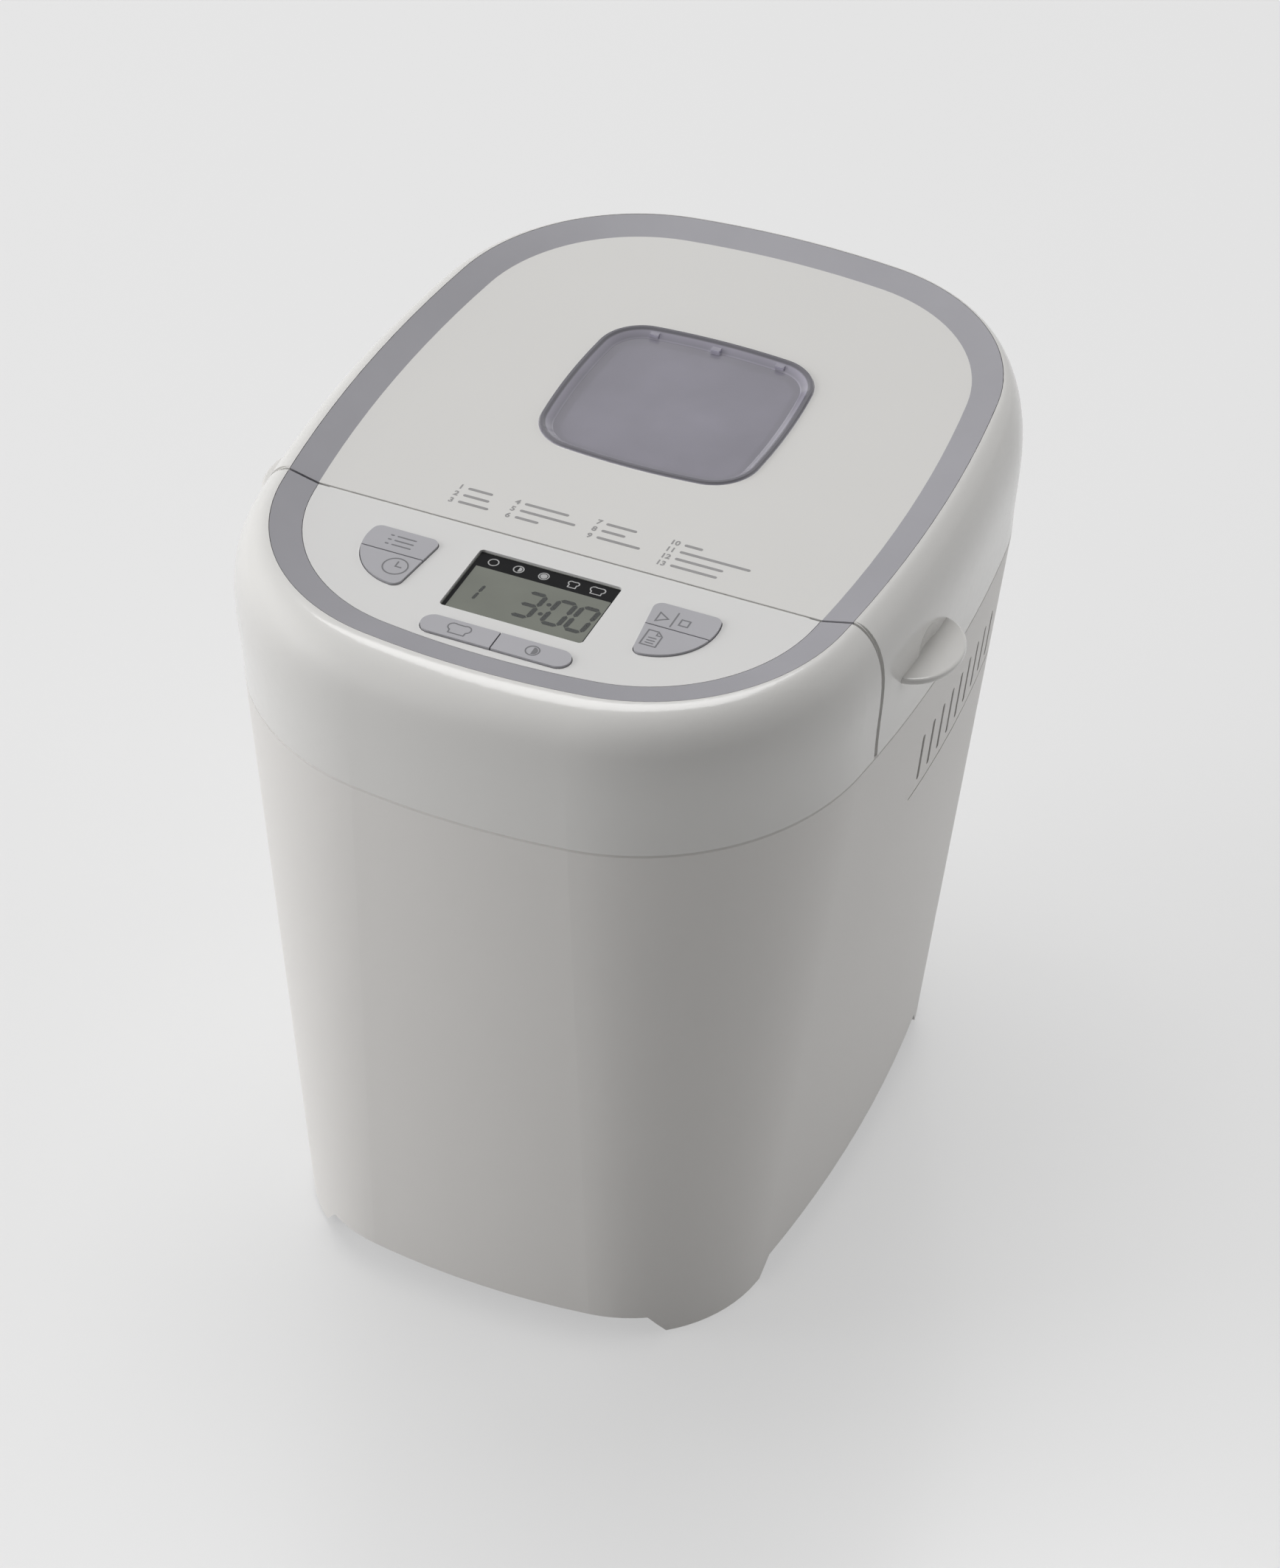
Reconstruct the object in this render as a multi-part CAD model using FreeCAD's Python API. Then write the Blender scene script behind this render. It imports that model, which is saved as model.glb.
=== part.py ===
import FreeCAD, Part
import math
import os

V = FreeCAD.Vector

# Outer body: all sizes in millimetres, front is -Y, the floor is z = 0
overall_depth = 292.0        # front of the shoulder to the back of the hinge barrels
hinge_overhang = 5.5         # how far the hinge barrels stand behind the shoulder
shoulder_width = 230.0       # widest section of lid and collar
shoulder_height = 258.0      # where the side begins to round over
top_height = 278.7           # outer edge of the trim ring
seam_height = 226.0          # top edge of the lower housing
seam_flare = 1.5             # shoulder outline minus seam outline
seam_gap = 0.4               # open line between housing and the covers above it
seam_edge = 0.6              # chamfer on the housing's top edge
base_width = 183.0
front_draft = 5.5            # how far the front leans in from seam to floor
back_draft = 27.3
side_radius = 532.0          # large arcs of the outline
end_radius = 288.0
shoulder_front_corner = 84.0
shoulder_back_corner = 87.5
base_front_corner = 52.0
base_back_corner = 64.0
wall = 2.6                   # moulded wall of housing, collar and lid
top_wall = 2.6               # top plate of the lid
shoulder_steps = (0, 25, 50, 72, 90)   # degrees of the sections round the shoulder

# Line between the lid and the control collar
split_y = -59.6
split_gap = 1.0
split_lip_drop = 0.35        # lip of the collar under the split line, below the panel face
split_lip_height = 3.0
split_lip_half_width = 86.0
side_groove_half = 1.1       # wider groove where the split runs down the sides
side_groove_depth = 0.9

# Trim ring on top
ring_side_inset = 10.5
ring_front_inset = 15.5
ring_back_inset = 4.6
ring_corner = 71.4
ring_width = 10.7
ring_drop = 2.7              # inner edge of the ring below its outer edge
ring_seat = 1.4              # rebate depth under the inner edge
trim_clear = 0.2             # line left open around trim and panel

# Feet, arches, vents and seam details
foot_lift = 1.2              # moulded foot above the floor, the pad fills it
arch_height = 9.0
arch_half_width = 61.0
arch_front = -84.0
arch_back = 52.0
arch_ramp = 6.0
pad_radius = 8.0
pad_height = 4.0
pad_recess = 1.0
boss_radius = 10.0
pads = ((68.0, -100.0), (60.0, 76.0))
vent_count = 9
vent_first = -15.5
vent_pitch = 9.0
vent_width = 2.2
vent_bottom = 183.0
vent_top = 203.0
groove_height = 178.0
groove_size = 0.8
groove_front = -22.0
groove_back = 64.0

# Lid grips
grip_y = -27.5
grip_half_length = 18.5
grip_reach = 12.3
grip_top = 250.0
grip_thickness = 2.4
grip_round = 0.9
scoop_radius = 30.0
scoop_depth = 1.2

# Hinge at the back
hinge_x = 30.0
barrel_radius = 4.2
barrel_clear = 0.5
pin_radius = 2.0
pin_clear = 0.05
lid_knuckle = 14.0
body_knuckle = 8.0
knuckle_gap = 0.4

# Baking chamber
chamber_y = 30.0
chamber_half_width = 84.0
chamber_half_depth = 74.0
chamber_corner = 50.0
chamber_floor = 50.0
sheet = 1.0                  # sheet metal of liner, shield and lid tray
flange_reach = 8.0
deck_top = 224.5
deck_thickness = 6.0
deck_front_reach = 20.0
fit_gap = 0.3                # clearance of plates inside the moulded walls
past = 1.0                   # how far a cutting form runs past the face it opens

# Chassis and base plate
base_plate_thickness = 2.5
chassis_z = 32.0
chassis_thickness = 2.0
chassis_inset = 6.0
pillar_radius = 6.0
pillars = ((44.0, -118.0), (40.0, 96.0))
screw_radius = 2.0
screw_clear = 0.1
screw_head_radius = 4.0
screw_head = 2.5
small_head_radius = 3.0
small_head = 1.5
leg_radius = 5.0
leg_x = 58.0
leg_y = 48.0
board_wall_x = 52.0
board_wall_front = -118.0
board_wall_back = -66.0
board_wall_top = 130.0
spacer_length = 5.0
spacer_radius = 3.0
air_slot_count = 5
air_slot_pitch = 10.0
air_slot_half_length = 22.0
air_slot_half_width = 2.0

# Drive line under the chamber
shaft_radius = 4.0
run_clear = 0.04             # running fit of shafts in bushes
bush_wall = 4.0
bush_length = 9.0
bearing_radius = 12.0
bearing_flange_radius = 26.0
bearing_flange = 4.0
bearing_below = 3.0          # bearing tube below the chassis
bearing_above = 3.5          # bearing tube above the chamber floor
belt_pitch = 5.0
drive_teeth = 54
motor_teeth = 12
tooth_radius = 1.5
pulley_z = 16.0
pulley_width = 10.0
pulley_web = 4.0
pulley_holes = 5
belt_width = 8.0
belt_thickness = 1.8
belt_gap = 0.35
dog_z = 55.0
dog_disc = 3.0
dog_radius = 15.0
lug_inner = 7.0
lug_width = 7.0
lug_height = 6.0
lug_gap = 0.5
lug_edge = 1.0               # lug ends inside the edge of its disc

# Motor
motor_y = -92.0
stator_half = 32.0
stator_z = 50.0
stator_height = 28.0
stator_bore = 19.5
stator_corner = 5.0
rotor_gap = 0.5
cap_plate = 3.0
cap_depth = 9.0
cap_bore = 29.0
cap_boss_radius = 8.5
cap_boss = 5.0
winding_radius = 27.0
winding_clear = 1.0
rotor_tail = 1.0
bolt_offset = 26.0
motor_foot_radius = 5.0
capacitor_x = -56.0
capacitor_radius = 14.0
capacitor_height = 46.0

# Bread pan
pan_seat_thickness = 2.0
pan_seat_radius = 50.0
pan_skirt_radius = 42.0
pan_skirt_wall = 3.0
pan_bottom = 70.0
pan_rim = 200.0
pan_half_width = 74.0
pan_half_depth = 60.0
pan_corner = 40.0
pan_taper = 4.0
pan_wall = 1.6
pan_floor = 2.0
rim_reach = 2.0
rim_thickness = 1.6
hub_radius = 9.0
hub_top = 76.0
hub_flange_radius = 15.0
clip_gap = 0.5
clip_thickness = 1.0
clip_width = 14.0
clip_height = 14.0
clip_foot = 6.0

# Pan handle
pivot_drop = 6.0             # pivot below the rim
handle_wire = 2.2
handle_side_gap = 0.8
handle_end_gap = 2.3
handle_bend = 3.0
handle_corner = 42.0
handle_rest_angle = 5.0      # above the horizontal, leaning to the back
ear_half_width = 9.0
ear_height = 12.0

# Paddle
paddle_radius = 46.0
paddle_thickness = 8.0
paddle_hub_radius = 8.5
paddle_clear = 0.5
paddle_height = 27.0
paddle_tip_height = 13.0

# Heating element and probe
element_radius = 3.3
element_z = 80.0
element_half_width = 78.5
element_half_depth = 67.0
element_corner = 44.0
element_tail_x = 14.0
element_tail_bend = 8.0
element_tail_reach = 4.0     # tail ends this far in front of the heat shield
element_bush_radius = 7.0
element_bush_length = 5.0
support_half_width = 5.0
probe_x = 29.0
probe_z = 112.0
probe_radius = 3.0
probe_inside = 12.0
probe_nut_radius = 6.0
probe_nut = 4.0
shield_gap = 7.5             # heat shield in front of the liner
shield_half_width = 72.0
shield_top = 214.0
shield_foot = 7.0

# Control panel
panel_thickness = 2.8
panel_ledge = 1.2
ledge_thickness = 2.0
lcd_y = -85.7
lcd_width = 50.2
lcd_depth = 31.3
lcd_corner = 1.5
lcd_lens = 1.2
lcd_sink = 0.9
lcd_lip = 1.5
module_width = 54.0
module_depth = 35.0
module_gap = 0.2
key_top_left = (59.0, -75.5)     # core of the right key pair, before its rounding
key_top_right = (41.5, -75.5)
key_bottom = (44.0, -96.0)
key_bulge = (56.5, -88.5)
key_round = 3.0
key_split_y = -84.2
pill_half_length = 26.2
pill_half_depth = 4.3
pill_y = -112.0
key_gap = 0.3
key_split_gap = 0.5
key_proud = 0.8
key_lip = 0.9
key_lip_thickness = 1.5
key_stem_radius = 2.5
key_stem = 3.4
key_travel = 1.0
switch_size = 6.0
switch_clear = 0.2
upper_key = (50.0, -78.5)
lower_key = (48.0, -90.0)
pill_key = (13.0, -112.0)
board_half_width = 72.0
board_front = -117.5
board_back = -66.0
board_thickness = 1.6
board_corner = 10.0
switch_height = 3.2
post_radius = 3.0
posts = ((67.5, -74.0), (58.0, -101.0))

# Power board
power_board_bottom = 48.0
power_board_top = 128.0
power_board_margin = 2.0
transformer = (18.0, -108.0, -80.0, 54.0, 84.0)
relay = (13.0, -104.0, -88.0, 92.0, 108.0)
filter_can = (6.0, 19.0, -78.0, 112.0)

# Cord gland in the back wall
gland_x = 28.0
gland_z = 44.0
gland_radius = 7.5
gland_bore = 3.5
gland_flange_radius = 10.0
gland_flange = 3.5
gland_inside = 9.0
gland_clear = 0.3

# Lid tray, seal and window
tray_gap = 12.0
tray_top = 266.0
tray_flange_lift = 3.5
lid_post_radius = 3.5
lid_posts = (-38.0, 6.0, 50.0)
seal_margin = 7.0
seal_width = 5.0
seal_gap = 0.3
window_half_width = 41.0
window_half_depth = 39.9
window_y = 30.2
window_side_radius = 240.0
window_corner = 17.0
window_rim = 5.0
window_crest = 1.5
window_bevel = 0.6
window_seat = 2.5
window_proud = 0.9
window_recess = 1.7
window_body = 3.5
window_lugs = (-24.0, -1.0, 23.0)
window_lug_half = 1.6
window_lug_reach = 2.2
window_clear = 0.15
pane_thickness = 3.0
pane_rest = 5.0

# Values worked out from the sizes above
front_y = -overall_depth / 2
back_y = overall_depth / 2 - hinge_overhang
panel_z = top_height - ring_drop
lid_inner_top = panel_z - top_wall
panel_under = panel_z - panel_thickness
collar_inner_top = panel_under - ledge_thickness
cover_bottom = seam_height + seam_gap
hinge_y = overall_depth / 2 - barrel_radius
hinge_z = seam_height + seam_gap / 2
chassis_top = chassis_z + chassis_thickness
chamber_front = chamber_y - chamber_half_depth
drive_pitch_radius = belt_pitch * drive_teeth / (2 * math.pi)
motor_pitch_radius = belt_pitch * motor_teeth / (2 * math.pi)
seat_top = chamber_floor + sheet + pan_seat_thickness
pivot_z = pan_rim - pivot_drop
handle_x = pan_half_width + rim_reach + handle_side_gap + handle_wire
handle_length = pan_half_depth + rim_reach + handle_end_gap + handle_wire
ear_face = pan_half_width + rim_reach
far = 2 * max(overall_depth, top_height)


class Outline:
    """Convex outline of eight tangent arcs: two sides, two ends and four corners."""

    def __init__(self, half_width, front, back, side_r, end_r, front_r, back_r):
        self.half_width = half_width
        self.front = front
        self.back = back
        self.side_r = side_r
        self.end_r = end_r
        self.front_r = front_r
        self.back_r = back_r

    def values(self):
        return (self.half_width, self.front, self.back, self.side_r, self.end_r, self.front_r, self.back_r)

    def inset(self, t):
        return Outline(self.half_width - t, self.front + t, self.back - t, self.side_r - t,
                       self.end_r - t, self.front_r - t, self.back_r - t)

    def toward(self, other, share):
        return Outline(*[a + (b - a) * share for a, b in zip(self.values(), other.values())])

    def corner_points(self, end_centre_y, r):
        """Tangent points and middle of the right-hand corner arc at one end."""
        side_c = V(self.half_width - self.side_r, (self.front + self.back) / 2, 0)
        end_c = V(0, end_centre_y, 0)
        line = end_c - side_c
        gap = line.Length
        side_reach = self.side_r - r
        end_reach = self.end_r - r
        along = (side_reach ** 2 - end_reach ** 2 + gap ** 2) / (2 * gap)
        off = math.sqrt(side_reach ** 2 - along ** 2)
        unit = line * (1 / gap)
        foot = side_c + unit * along
        normal = V(-unit.y, unit.x, 0)
        centre = max(foot + normal * off, foot - normal * off, key=lambda p: p.x)
        on_side = side_c + (centre - side_c) * (self.side_r / side_reach)
        on_end = end_c + (centre - end_c) * (self.end_r / end_reach)
        middle = (on_side - centre).normalize() + (on_end - centre).normalize()
        return on_side, centre + middle.normalize() * r, on_end

    def wire(self, z):
        mid_y = (self.front + self.back) / 2
        b_side, b_mid, b_end = self.corner_points(self.back - self.end_r, self.back_r)
        f_side, f_mid, f_end = self.corner_points(self.front + self.end_r, self.front_r)
        flip = lambda p: V(-p.x, p.y, 0)
        arcs = ((f_side, V(self.half_width, mid_y, 0), b_side), (b_side, b_mid, b_end),
                (b_end, V(0, self.back, 0), flip(b_end)), (flip(b_end), flip(b_mid), flip(b_side)),
                (flip(b_side), V(-self.half_width, mid_y, 0), flip(f_side)),
                (flip(f_side), flip(f_mid), flip(f_end)),
                (flip(f_end), V(0, self.front, 0), f_end), (f_end, f_mid, f_side))
        wire = Part.Wire([Part.Arc(*arc).toShape() for arc in arcs])
        wire.translate(V(0, 0, z))
        return wire

    def prism(self, z0, z1):
        return Part.Face(self.wire(z0)).extrude(V(0, 0, z1 - z0))


# Outlines of the body
shoulder = Outline(shoulder_width / 2, front_y, back_y, side_radius, end_radius,
                   shoulder_front_corner, shoulder_back_corner)
seam = shoulder.inset(seam_flare)
base = Outline(base_width / 2, seam.front + front_draft, seam.back - back_draft, side_radius, end_radius,
               base_front_corner, base_back_corner)
ring = Outline(shoulder_width / 2 - ring_side_inset, front_y + ring_front_inset, back_y - ring_back_inset,
               side_radius, end_radius, ring_corner, ring_corner)
panel_outline = ring.inset(ring_width)
window = Outline(window_half_width, window_y - window_half_depth, window_y + window_half_depth,
                 window_side_radius, window_side_radius, window_corner, window_corner)


def lower_section(z):
    return base.toward(seam, z / seam_height)


# Small building blocks
def slab(x0, x1, y0, y1, z0, z1):
    return Part.makeBox(x1 - x0, y1 - y0, z1 - z0, V(x0, y0, z0))


def rod(r, z0, z1, x=0.0, y=0.0):
    return Part.makeCylinder(r, z1 - z0, V(x, y, z0))


def rod_x(r, x0, x1, y, z):
    return Part.makeCylinder(r, x1 - x0, V(x0, y, z), V(1, 0, 0))


def rod_y(r, y0, y1, x, z):
    return Part.makeCylinder(r, y1 - y0, V(x, y0, z), V(0, 1, 0))


def tube(outer, inner, z0, z1, x=0.0, y=0.0):
    return rod(outer, z0, z1, x, y).cut(rod(inner, z0 - past, z1 + past, x, y))


def plate(half_width, half_depth, corner, z0, z1, y=0.0):
    """Rounded rectangle, centred on x = 0, as a prism."""
    block = slab(-half_width, half_width, y - half_depth, y + half_depth, z0, z1)
    upright = [e for e in block.Edges if abs(e.Vertexes[0].Z - e.Vertexes[-1].Z) > 1e-6]
    return block.makeFillet(corner, upright)


def cut_all(shape, tools):
    return shape.cut(Part.makeCompound(tools))


def fuse_all(shapes):
    return shapes[0].multiFuse(shapes[1:])


def mirrored(shape):
    return shape.mirror(V(0, 0, 0), V(1, 0, 0))


def both_sides(points):
    return [(side * x, y) for x, y in points for side in (-1, 1)]


def polygon(points):
    return Part.Face(Part.makePolygon([V(*p) for p in points + points[:1]]))


def save(name, *solids):
    shape = solids[0] if len(solids) == 1 else Part.makeCompound(list(solids))
    shape.exportStep("parts/" + name + ".step")


os.makedirs("parts", exist_ok=True)

front_zone = slab(-far, far, -far, split_y - split_gap / 2, -far, far)
rear_zone = slab(-far, far, split_y + split_gap / 2, far, -far, far)
front_room = slab(-far, far, -far, split_y - split_gap / 2 - wall, -far, far)
rear_room = slab(-far, far, split_y + split_gap / 2 + wall, far, -far, far)


# Lower housing
def hinge_rods(radius, spans, longer=0.0):
    return [rod_x(radius, x0 - longer, x1 + longer, hinge_y, hinge_z) for x0, x1 in spans]


def body_spans():
    spans = []
    for side in (-1, 1):
        for end in (-1, 1):
            near = side * hinge_x + end * (lid_knuckle / 2 + knuckle_gap)
            spans.append(tuple(sorted((near, near + end * body_knuckle))))
    return spans


def lid_spans():
    return [(side * hinge_x - lid_knuckle / 2, side * hinge_x + lid_knuckle / 2) for side in (-1, 1)]


def knuckle_notches(spans):
    return hinge_rods(barrel_radius + barrel_clear, spans, knuckle_gap)


def hinge_webs(spans, z0, z1, room):
    web_front = seam.back - barrel_radius - wall
    return [slab(x0, x1, web_front, hinge_y, z0, z1).cut(room) for x0, x1 in spans]


def arch_tools():
    low = foot_lift - past
    half = arch_half_width
    front_back = polygon([(-half - arch_ramp, -far, low), (half + arch_ramp, -far, low),
                          (half, -far, arch_height), (-half, -far, arch_height)]).extrude(V(0, 2 * far, 0))
    sideways = polygon([(-far, arch_front - arch_ramp, low), (-far, arch_back + arch_ramp, low),
                        (-far, arch_back, arch_height), (-far, arch_front, arch_height)])
    return [front_back, sideways.extrude(V(2 * far, 0, 0))]


def vent_tools():
    tools = []
    r = vent_width / 2
    for i in range(vent_count):
        y = vent_first + i * vent_pitch
        for x0, x1 in ((-far, -base_width / 2), (base_width / 2, far)):
            tools.append(slab(x0, x1, y - r, y + r, vent_bottom + r, vent_top - r))
            tools.append(rod_x(r, x0, x1, y, vent_bottom + r))
            tools.append(rod_x(r, x0, x1, y, vent_top - r))
    return tools


def groove_tool():
    section = lower_section(groove_height)
    groove_top = groove_height + groove_size
    band = section.inset(-groove_size).prism(groove_height, groove_top)
    band = band.cut(section.inset(groove_size).prism(groove_height - past, groove_top + past))
    return band.common(slab(-far, far, groove_front, groove_back, 0, far))


edge_z = seam_height - seam_edge
housing_wires = [lower_section(z).wire(z) for z in (foot_lift, edge_z)]
housing_outer = Part.makeLoft(housing_wires + [seam.inset(seam_edge).wire(seam_height)], True, True)
room_wires = [lower_section(z).inset(wall).wire(z) for z in (foot_lift - past, seam_height + past)]
housing_inner = Part.makeLoft(room_wires, True, True)
gland_hole = rod_y(gland_radius + gland_clear, chamber_y, far, gland_x, gland_z)
housing = housing_outer.cut(housing_inner)
housing = cut_all(housing, arch_tools())
housing = housing.cut(groove_tool())
housing = cut_all(housing, [fuse_all(vent_tools())])
housing = cut_all(housing, knuckle_notches(lid_spans()) + [gland_hole])
housing_webs = hinge_webs(body_spans(), hinge_z - barrel_radius, seam_height, housing_inner)
housing = housing.multiFuse(hinge_rods(barrel_radius, body_spans()) + housing_webs)
housing = cut_all(housing, hinge_rods(pin_radius, body_spans()))
save("lower_housing", housing)

# Cord gland with a clear bore through the back wall
gland_seat = lower_section(gland_z).back
gland_end = gland_seat + gland_flange
gland_body = rod_y(gland_radius, gland_seat - gland_inside, gland_end, gland_x, gland_z)
gland_collar = rod_y(gland_flange_radius, gland_seat - gland_flange, gland_end, gland_x, gland_z)
gland_collar = gland_collar.cut(housing_outer)
gland = gland_body.fuse(gland_collar).cut(rod_y(gland_bore, 0, far, gland_x, gland_z))
save("cord_gland", gland)

# Base plate with foot bosses, pillars and an air grid
base_plate_top = arch_height + base_plate_thickness
pillar_places = both_sides(pillars)
pad_places = both_sides(pads)
pad_seat = pad_height - pad_recess
base_plate = lower_section(arch_height).inset(wall + fit_gap).prism(arch_height, base_plate_top)
base_plate = base_plate.multiFuse(
    [rod(pillar_radius, arch_height, chassis_z, x, y) for x, y in pillar_places]
    + [rod(boss_radius, pad_seat, arch_height, x, y) for x, y in pad_places])
screw_bores = [rod(screw_radius + screw_clear, 0, chassis_top + past, x, y) for x, y in pillar_places]
pad_sockets = [rod(pad_radius, 0, pad_height, x, y) for x, y in pad_places]
air_places = [motor_y + (i - (air_slot_count - 1) / 2) * air_slot_pitch for i in range(air_slot_count)]
air_slots = [slab(-air_slot_half_length, air_slot_half_length,
                  y - air_slot_half_width, y + air_slot_half_width,
                  0, base_plate_top + past) for y in air_places]
base_plate = cut_all(base_plate, screw_bores + pad_sockets + air_slots)
save("base_plate", base_plate)
save("foot_pads", *[rod(pad_radius, 0, pad_height, x, y) for x, y in pad_places])
screw_top = chassis_top + screw_radius
save("base_screws", *[rod(screw_radius, arch_height, screw_top, x, y).fuse(
    rod(screw_head_radius, arch_height - screw_head, arch_height, x, y)) for x, y in pillar_places])

# Chassis plate: legs for the chamber and an upturned wall with spacers for the power board
board_wall_face = board_wall_x + chassis_thickness
power_board_x = board_wall_face + spacer_length
spacer_inset = power_board_margin + 2 * spacer_radius
spacer_places = [(y, z) for y in (board_wall_front + spacer_inset, board_wall_back - spacer_inset)
                 for z in (power_board_bottom + spacer_inset, power_board_top - spacer_inset)]
leg_places = [(sx * leg_x, chamber_y + sy * leg_y) for sx in (-1, 1) for sy in (-1, 1)]
chassis = lower_section(chassis_z).inset(wall + chassis_inset).prism(chassis_z, chassis_top)
chassis = chassis.multiFuse(
    [rod(leg_radius, chassis_z, chamber_floor, x, y) for x, y in leg_places]
    + [slab(board_wall_x, board_wall_face, board_wall_front, board_wall_back, chassis_z, board_wall_top)]
    + [rod_x(spacer_radius, board_wall_x, power_board_x, y, z) for y, z in spacer_places])
chassis_bores = [rod(bearing_radius + fit_gap, 0, chassis_top + past, 0, chamber_y),
                 rod(cap_boss_radius + fit_gap, 0, chassis_top + past, 0, motor_y)]
chassis = cut_all(chassis, screw_bores + chassis_bores)
save("chassis_plate", chassis)

# Baking chamber: sheet liner, deck around its mouth and the heat shield in front
deck_bottom = deck_top - deck_thickness


def chamber_plate(grow, z0, z1):
    return plate(chamber_half_width + grow, chamber_half_depth + grow, chamber_corner + grow,
                 z0, z1, chamber_y)


tail_places = (-element_tail_x, element_tail_x)
liner_front = chamber_front - sheet
liner = chamber_plate(sheet, chamber_floor, deck_bottom)
flange = chamber_plate(sheet + flange_reach, deck_bottom - sheet, deck_bottom)
liner = liner.fuse(flange.common(lower_section(deck_bottom - sheet).inset(wall + fit_gap).prism(0, far)))
hole_front = liner_front - past
hole_back = chamber_front + past
liner_holes = [rod_y(element_radius + fit_gap, hole_front, hole_back, x, element_z) for x in tail_places]
liner_holes.append(rod_y(probe_radius + screw_clear, hole_front, hole_back, probe_x, probe_z))
liner_holes.append(rod(bearing_radius + fit_gap, 0, chamber_floor + sheet + past, 0, chamber_y))
liner = cut_all(liner, [chamber_plate(0, chamber_floor + sheet, deck_bottom + past)] + liner_holes)
save("chamber_liner", liner)

deck = lower_section(deck_bottom).inset(wall + fit_gap).prism(deck_bottom, deck_top)
deck = deck.common(slab(-far, far, split_y - deck_front_reach, far, 0, far))
save("chamber_deck", deck.cut(chamber_plate(0, 0, far)))

shield_back = liner_front - shield_gap
shield_front = shield_back - sheet
shield = slab(-shield_half_width, shield_half_width, shield_front, shield_back, chassis_top, shield_top)
shield = shield.fuse(slab(-shield_half_width, shield_half_width, shield_front, shield_back + shield_foot,
                          chassis_top, chassis_top + sheet))
shield_holes = [rod_y(element_bush_radius, shield_front - past, shield_back + past, x, element_z)
                for x in tail_places]
shield_holes.append(rod_y(probe_nut_radius, shield_front - past, shield_back + past, probe_x, probe_z))
save("heat_shield", cut_all(shield, shield_holes))


# Round bar bent along straight runs with tangent arcs
def bent_bar(points, bends, radius):
    corners = [V(*p) for p in points]
    edges = []
    start = corners[0]
    for before, here, after, bend in zip(corners, corners[1:], corners[2:], bends):
        into = (here - before).normalize()
        out = (after - here).normalize()
        half = into.getAngle(out) / 2
        run = bend * math.tan(half)
        first = here - into * run
        last = here + out * run
        middle = here + (out - into).normalize() * (bend / math.cos(half) - bend)
        edges.append(Part.LineSegment(start, first).toShape())
        edges.append(Part.Arc(first, middle, last).toShape())
        start = last
    edges.append(Part.LineSegment(start, corners[-1]).toShape())
    ring_wire = Part.Wire(Part.makeCircle(radius, corners[0], corners[1] - corners[0]))
    return Part.Wire(edges).makePipeShell([ring_wire], True, False)


# Tubular heating element around the pan, its supports and its bushes in the front wall
element_front = chamber_y - element_half_depth
element_back = chamber_y + element_half_depth
element_tail_end = shield_front - element_tail_reach
left_half = [(-element_tail_x, element_tail_end, element_z), (-element_tail_x, element_front, element_z),
             (-element_half_width, element_front, element_z),
             (-element_half_width, element_back, element_z)]
right_half = [(-x, y, z) for x, y, z in reversed(left_half)]
element_bends = [element_tail_bend, element_corner, element_corner]
element = bent_bar(left_half + right_half, element_bends + element_bends[::-1], element_radius)
save("heating_element", element)

clip_floor = chamber_floor + sheet
element_low = element_z - element_radius
side_supports = [slab(x - sheet, x + sheet, chamber_y - support_half_width, chamber_y + support_half_width,
                      clip_floor, element_low) for x in (-element_half_width, element_half_width)]
back_support = slab(-support_half_width, support_half_width, element_back - sheet, element_back + sheet,
                    clip_floor, element_low)
save("element_clips", back_support, *side_supports)

bush_front = liner_front - element_bush_length
element_bores = [rod_y(element_radius + screw_clear, bush_front - past, liner_front + past, x, element_z)
                 for x in tail_places]
bush_blanks = [rod_y(element_bush_radius, bush_front, liner_front, x, element_z) for x in tail_places]
save("element_bushes", *[cut_all(blank, element_bores) for blank in bush_blanks])

probe = rod_y(probe_radius, shield_front - sheet, chamber_front + probe_inside, probe_x, probe_z)
probe = probe.fuse(rod_y(probe_nut_radius, liner_front - probe_nut, liner_front, probe_x, probe_z))
save("temperature_probe", probe)

# Seat and spring clips for the pan
seat = tube(pan_seat_radius, bearing_radius + 2 * fit_gap, clip_floor, seat_top, 0, chamber_y)
save("pan_seat", seat)

clip_face = pan_skirt_radius + clip_gap
clip_back = clip_face + clip_thickness
clip_leaf = slab(clip_face, clip_back, chamber_y - clip_width / 2, chamber_y + clip_width / 2,
                 seat_top, seat_top + clip_height)
clip_base = slab(clip_face, clip_back + clip_foot, chamber_y - clip_width / 2, chamber_y + clip_width / 2,
                 seat_top, seat_top + clip_thickness)
clip = clip_leaf.fuse(clip_base)
save("pan_clips", clip, mirrored(clip))

# Drive bearing, its bushes and the drive shaft with dog and pulley
bearing_bottom = chassis_z - bearing_below
bearing_top = clip_floor + bearing_above
bush_radius = shaft_radius + bush_wall
bearing = rod(bearing_radius, bearing_bottom, bearing_top, 0, chamber_y)
bearing = bearing.fuse(rod(bearing_flange_radius, chassis_top, chassis_top + bearing_flange, 0, chamber_y))
save("bearing_housing", bearing.cut(rod(bush_radius, 0, far, 0, chamber_y)))
bush_bore = shaft_radius + run_clear
save("drive_bushes", *[tube(bush_radius, bush_bore, z, z + bush_length, 0, chamber_y)
                       for z in (bearing_bottom, bearing_top - bush_length)])

dog_top = dog_z + dog_disc
pulley_top = pulley_z + pulley_width
save("drive_shaft", rod(shaft_radius, pulley_z, dog_top, 0, chamber_y))


def lugs(z0, z1, across):
    """Two driving lugs on one diameter, along X or across it."""
    half = lug_width / 2
    lug = slab(lug_inner, dog_radius - lug_edge, -half, half, z0, z1)
    turns = (90, 270) if across else (0, 180)
    pair = [lug.rotated(V(0, 0, 0), V(0, 0, 1), turn) for turn in turns]
    return [one.translate(V(0, chamber_y, 0)) for one in pair]


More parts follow.
